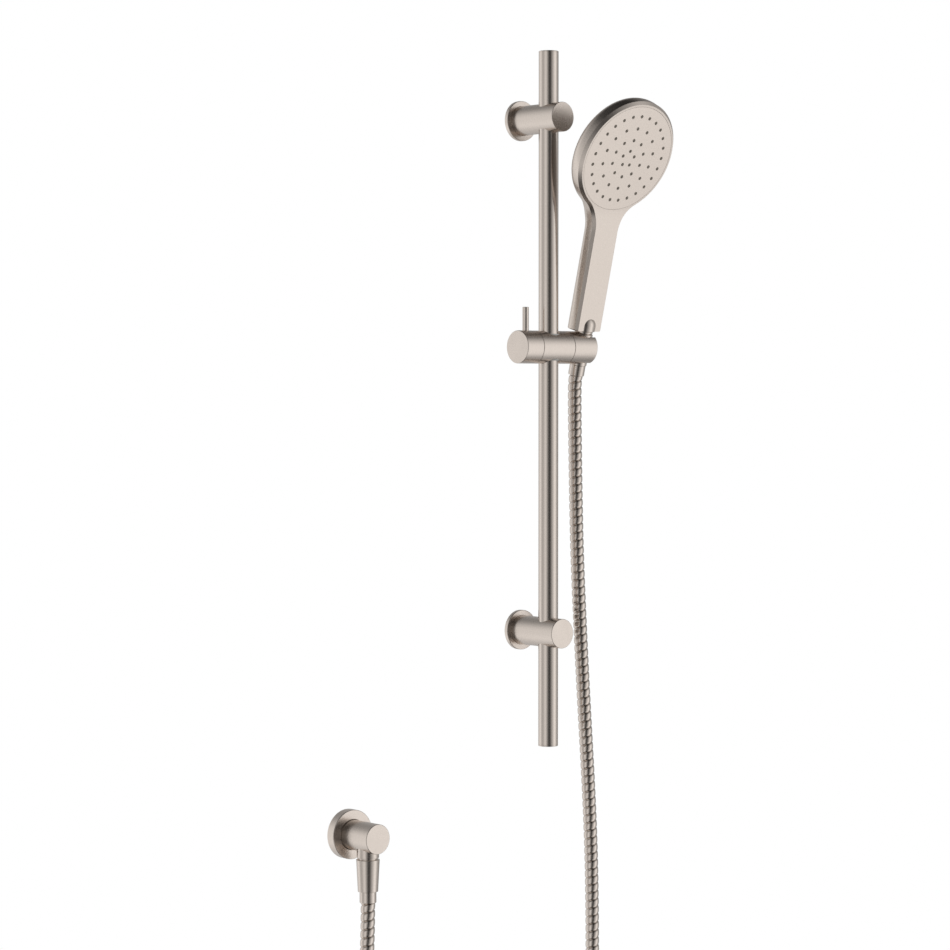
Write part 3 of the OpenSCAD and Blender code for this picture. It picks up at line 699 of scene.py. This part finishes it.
def at_nozzles(name, points, radii, loop, extra=None, sides=28):
    """One mesh with the same small turned shape at every nozzle."""
    verts, faces = [], []
    small, small_faces = lathe_mesh(rounded(points, radii, 3), sides, loop)
    for spot in NOZZLES:
        at = shift(*spot) @ ALONG_Y
        base = len(verts)
        verts += [at @ Vector(v) for v in small]
        faces += [[base + i for i in face] for face in small_faces]
    if extra:
        base = len(verts)
        more, more_faces = extra
        verts += [ALONG_Y @ Vector(v) for v in more]
        faces += [[base + i for i in face] for face in more_faces]
    return make(name, verts, faces, AT_HEAD)


plate = lathe("spray_faceplate_detail", [(0, 0), (55.2, 0), (55.2, 1.6), (0, 1.6)],
              [0, 0.2, 0.2, 0], AT_HEAD @ ALONG_Y, sides=240)
carve(plate,
      at_nozzles("cut", [(0, -1), (1.95, -1), (1.72, 0.25), (1.72, 3), (0, 3)], [0] * 5, False))
stand_for(plate, face_nickel, "handset_nickel", "spray_faceplate")
mat_disc = rounded([(0, 1.65), (54.6, 1.65), (54.6, 3), (0, 3)], [0, 0.3, 0.3, 0], 3)
mat = at_nozzles("spray_nozzle_mat_detail",
                 [(0.45, 2.2), (0.45, -0.45), (1.5, -0.45), (1.6, 0.6), (1.6, 2.2)],
                 [0, 0.1, 0.6, 0, 0], True, lathe_mesh(mat_disc, 160, False))
stand_for(mat, rubber, "dark_rubber", "spray_nozzle_mat")

# The inlet: its thread's shank, the bead above the nut and the dome inside the shell
DOME_R, DOME_Z, DOME_END = 8.6, 23.5, math.radians(54.04)
dome = [(DOME_R * math.cos(a), DOME_Z + DOME_R * math.sin(a))
        for a in [DOME_END * k / 14 for k in range(15)]]
shank_points = [(6.1, 6), (7.4, 6), (7.4, 15.5), (8.3, 15.5), (8.3, 15.9), (9.4, 15.9), (9.4, 18.3),
                (DOME_R, 18.3)]
inlet_points = shank_points + dome + [(5.05, 24.95), (3.4, 24.95), (3.4, 19.6), (6.1, 19.6)]
inlet_radii = [0, 0.2, 0, 0.1, 0, 0.8, 0.7] + [0] * (len(inlet_points) - 7)
inlet = lathe("handset_inlet_detail", inlet_points, inlet_radii, Matrix(), sides=128, loop=True)
fuse(inlet, bullet(NOSE_R, 18.55, -4))
inlet.data.transform(AT_HANDSET_METRES)
stand_for(inlet, turned_z, "handset_nickel", "handset_inlet")

nut = lathe("handset_hose_nut_detail",
            [(7.45, 15.4), (seat_radius(15.4) - 0.1, 15.4), (seat_radius(-17.7) - 0.1, -17.7),
             (6.7, -17.7), (6.7, -6), (7.5, -6), (7.5, 5.9), (7.45, 5.9)],
            [0, 1.3, 0.4, 0, 0, 0, 0, 0], AT_HANDSET, sides=128, loop=True)
stand_for(nut, turned_z, "brushed_nickel", "handset_hose_nut")


def ferrule(node, low, sleeve_top, head_low, head_top, place):
    obj = lathe(node + "_detail",
                [(8.15, low), (8.15, sleeve_top), (6.6, sleeve_top), (6.6, head_low),
                 (7.3, head_low), (7.3, head_top), (3.5, head_top), (3.5, low + 4.6),
                 (7.12, low + 4.6), (7.12, low)],
                [0.45, 0.3, 0, 0, 0, 0.2, 0, 0, 0, 0.15], place, sides=128, loop=True)
    stand_for(obj, turned_z, "hose_steel", node)


ferrule("handset_hose_ferrule", -28.5, -17.8, -5.9, 3.7, AT_HANDSET)

# ---------------------------------------------------------------- wall outlet

ferrule("outlet_hose_ferrule", -62.9, -52.3, -41.9, -34.4, AT_SPIGOT)
outlet_nut = lathe("outlet_hose_nut_detail",
                   [(10.25, -21), (11.4, -21), (9.8, -52.2), (6.7, -52.2), (6.7, -42), (8.4, -42),
                    (8.4, -32.1), (10.25, -32.1)],
                   [0, 0.45, 0.45, 0, 0, 0, 0, 0], AT_SPIGOT, sides=144, loop=True)
stand_for(outlet_nut, turned_z, "brushed_nickel", "outlet_hose_nut")
outlet_flange = lathe("outlet_flange_detail",
                      [(14.85, -9.7), (24, -9.7), (24, 0),
                       (10.75, 0), (10.75, -2.4), (14.85, -2.4)],
                      [0.4, 0.7, 0.2, 0, 0, 0], AT_OUTLET @ ALONG_Y, sides=192, loop=True)
stand_for(outlet_flange, turned_y, "brushed_nickel", "outlet_flange")
outlet = lathe("outlet_body_detail",
               [(0, -48.8), (OUTLET_R, -48.8), (OUTLET_R, -2.6), (8.6, -2.6), (8.6, -41), (0, -41)],
               [0, 0.6, 0, 0, 0, 0], AT_OUTLET @ ALONG_Y, sides=160)
carve(outlet,
      bar(7.6, -17, 0, AT_SPIGOT, 96),
      bar(1.55, -17, -7.6, AT_OUTLET @ shift(0, -12.2, 0), 32))
stand_for(outlet, turned_y, "brushed_nickel", "outlet_body")

# The spigot: a collar that meets the body, a groove above the nut, and the shank with the thread
spigot = lathe("outlet_spigot_detail",
               [(5.5, -33), (10.1, -33), (10.1, -21), (9.1, -20.9),
                (9.1, -19.5), (10.75, -19.5), (10.75, -8), (5.5, -8)],
               [0, 0.6, 0, 0, 0, 0.5, 0, 0], AT_SPIGOT, sides=144, loop=True)
carve(spigot, bar(OUTLET_R, -50, 0, AT_OUTLET @ ALONG_Y, 160))
root = lathe("root", [(5.5, -18), (7.55, -18), (7.55, -6), (5.5, -6)], [0] * 4,
             AT_SPIGOT, sides=144, loop=True)
carve(root, bar(8.58, -41, 0, AT_OUTLET @ ALONG_Y, 96))
fuse(spigot, root)
stand_for(spigot, turned_z, "brushed_nickel", "outlet_spigot")

# The nipple: a turned shank with a real half-inch thread into the wall
thread_way = Way([(AT_OUTLET @ Vector((0, y, 0))) for y in (-5, 0, 14, 19)])
nipple = spiral_tube("outlet_inlet_nipple_detail", thread_way, 0, 14, 1.814,
                     [(0.0, 9.5), (0.1, 9.5), (0.45, 10.42), (0.65, 10.42)], 64, 6.5)
shank = lathe("shank",
              [(6.5, -0.02), (10.15, -0.02), (10.15, -2.3),
               (8.55, -2.3), (8.55, -13.9), (6.5, -13.9)],
              [0, 0, 0.2, 0, 0.3, 0], AT_OUTLET @ ALONG_Y, sides=96, loop=True)
edit = bmesh.new()
edit.from_mesh(nipple.data)
edit.from_mesh(shank.data)
edit.to_mesh(nipple.data)
edit.free()
bpy.data.objects.remove(shank)
stand_for(nipple, brass, "yellow_brass", "outlet_inlet_nipple")


def coil(name, radius, wire, low, high, turns, place, sides=10, per_turn=28):
    """A round-wire compression spring from low to high along y."""
    centres = []
    total = turns * per_turn
    for k in range(total + 1):
        t = k / total
        flat = min(max((t * turns - 0.6) / (turns - 1.2), 0), 1)
        a = 2 * math.pi * t * turns
        centres.append(Vector((radius * math.cos(a), low + wire + (high - low - 2 * wire) * flat,
                               radius * math.sin(a))))
    verts, faces = [], []
    for k, c in enumerate(centres):
        way = (centres[min(k + 1, total)] - centres[max(k - 1, 0)]).normalized()
        u = Vector((c.x, 0, c.z)).normalized()
        v = way.cross(u)
        for s in range(sides):
            a = 2 * math.pi * s / sides
            verts.append(c + u * (wire * math.cos(a)) + v * (wire * math.sin(a)))
    for k in range(total):
        for s in range(sides):
            n = (s + 1) % sides
            faces.append((k * sides + s, k * sides + n, (k + 1) * sides + n, (k + 1) * sides + s))
    faces += [tuple(range(sides)), tuple(range(len(verts) - 1, len(verts) - sides - 1, -1))]
    return make(name, verts, faces, place)


spring = coil("check_valve_spring_detail", 3.0, 0.32, -10.9, -5.1, 5, AT_VALVE)
spring.data.materials.append(screw_steel)
spring.data.polygons.foreach_set("use_smooth", [True] * len(spring.data.polygons))
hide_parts("check_valve_spring")
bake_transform(spring)

# ---------------------------------------------------------------- finishes of the CAD's own pieces

FINISHES = {
    "upper_wall_plate": dark_plastic, "lower_wall_plate": dark_plastic,
    "bracket_grub_screws": screw_steel, "rail_set_screws": screw_steel,
    "outlet_grub_screw": screw_steel, "check_valve_housing": pale_plastic,
    "check_valve_poppet": dark_plastic, "check_valve_oring": seal_rubber,
    "outlet_hose_washer": seal_rubber, "slider_liner": pale_plastic,
    "slider_pivot_screw": screw_steel, "lock_screw": screw_steel, "brake_shoe": dark_plastic,
    "holder_washer": brass, "spray_plate": dark_plastic, "chamber_seal": seal_rubber,
    "water_chamber": dark_plastic, "handle_water_tube": pale_plastic,
    "flow_restrictor": pale_plastic, "handset_hose_washer": seal_rubber,
}
for node, finish in FINISHES.items():
    mesh = NODES[node].data
    mesh.materials.clear()
    mesh.materials.append(finish)
    mesh.polygons.foreach_set("use_smooth", [True] * len(mesh.polygons))
    mesh.set_sharp_from_angle(angle=math.radians(32))

# ---------------------------------------------------------------- studio: pale floor, soft light

FLOOR_Z, FLOOR_R, FLOOR_DEEP = -1400, 1300, 10
floor = lathe("floor", [(0, 0), (FLOOR_R, 0), (FLOOR_R, -FLOOR_DEEP), (0, -FLOOR_DEEP)],
              [0] * 4, shift(-80, -33, FLOOR_Z), sides=128)
floor.data.materials.append(dull("floor_pale", (0.9, 0.89, 0.88), 0.8, grain=400, depth=0.05))
floor.visible_glossy = False

world = bpy.data.worlds.new("studio")
scene.world = world
world.use_nodes = True
tree = world.node_tree
tree.nodes.clear()


def grey_ramp(stops):
    return add_ramp(tree, [(place, (value, value, value)) for place, value in stops])


# Soft boxes and dark flags round the object, by compass angle: 0 is straight at the photographer
BOXES = [
    (-180, 0.50), (-160, 0.62), (-140, 0.72), (-123, 0.78), (-103, 1.05), (-86, 0.64),
    (-71, 0.50), (-58, 0.57), (-45, 0.78), (-33, 0.90), (-21, 0.63), (-10, 0.32), (2, 0.09),
    (13, 0.03), (25, 0.11), (36, 0.35), (49, 0.55), (62, 0.78), (75, 1.10), (91, 1.06),
    (108, 0.52), (131, 0.42), (150, 0.28), (165, 0.38), (180, 0.50),
]
# How much of a box's light is left, by the sine of its height above the level
HEIGHTS = [
    (-1.0, 0.03), (-0.95, 0.03), (-0.86, 0.3), (-0.79, 0.85), (-0.71, 1.05), (0.17, 1.0),
    (0.34, 0.86), (0.57, 0.60), (0.73, 0.36), (0.78, 0.16), (0.87, 0.05), (1.0, 0.05),
]
coords = add_node(tree, "ShaderNodeTexCoord")
across = add_node(tree, "ShaderNodeVectorMath", operation="DOT_PRODUCT")
across.inputs[1].default_value = (math.cos(YAW), -math.sin(YAW), 0)
toward = add_node(tree, "ShaderNodeVectorMath", operation="DOT_PRODUCT")
toward.inputs[1].default_value = (-math.sin(YAW), -math.cos(YAW), 0)
compass = add_node(tree, "ShaderNodeMath", operation="ARCTAN2")
share = add_node(tree, "ShaderNodeMath", operation="MULTIPLY_ADD")
share.inputs[1].default_value = 0.5 / math.pi
share.inputs[2].default_value = 0.5
boxes = grey_ramp([((a + 180) / 360, v) for a, v in BOXES])
height = add_node(tree, "ShaderNodeSeparateXYZ")
lift = add_node(tree, "ShaderNodeMath", operation="MULTIPLY_ADD")
lift.inputs[1].default_value = 0.5
lift.inputs[2].default_value = 0.5
cover = grey_ramp([((z + 1) / 2, v) for z, v in HEIGHTS])
lit = add_node(tree, "ShaderNodeVectorMath", operation="MULTIPLY")
studio = add_node(tree, "ShaderNodeBackground")
white = add_node(tree, "ShaderNodeBackground")
white.inputs["Color"].default_value = (1, 1, 1, 1)
path = add_node(tree, "ShaderNodeLightPath")
choose = add_node(tree, "ShaderNodeMixShader")
out = add_node(tree, "ShaderNodeOutputWorld")
link = tree.links.new
for dot in (across, toward):
    link(coords.outputs["Generated"], dot.inputs[0])
link(across.outputs["Value"], compass.inputs[0])
link(toward.outputs["Value"], compass.inputs[1])
link(compass.outputs[0], share.inputs[0])
link(share.outputs[0], boxes.inputs["Fac"])
link(coords.outputs["Generated"], height.inputs[0])
link(height.outputs["Z"], lift.inputs[0])
link(lift.outputs[0], cover.inputs["Fac"])
link(boxes.outputs["Color"], lit.inputs[0])
link(cover.outputs["Color"], lit.inputs[1])
link(lit.outputs[0], studio.inputs["Color"])
link(path.outputs["Is Camera Ray"], choose.inputs["Fac"])
link(studio.outputs[0], choose.inputs[1])
link(white.outputs[0], choose.inputs[2])
link(choose.outputs[0], out.inputs["Surface"])

overhead = bpy.data.lights.new("overhead", "AREA")
overhead.shape = "DISK"
overhead.size = 2.5
overhead.energy = 60
sky = bpy.data.objects.new("overhead", overhead)
scene.collection.objects.link(sky)
sky.location = (-0.1, -0.6, 2.2)
sky.visible_glossy = False
sky.visible_camera = False
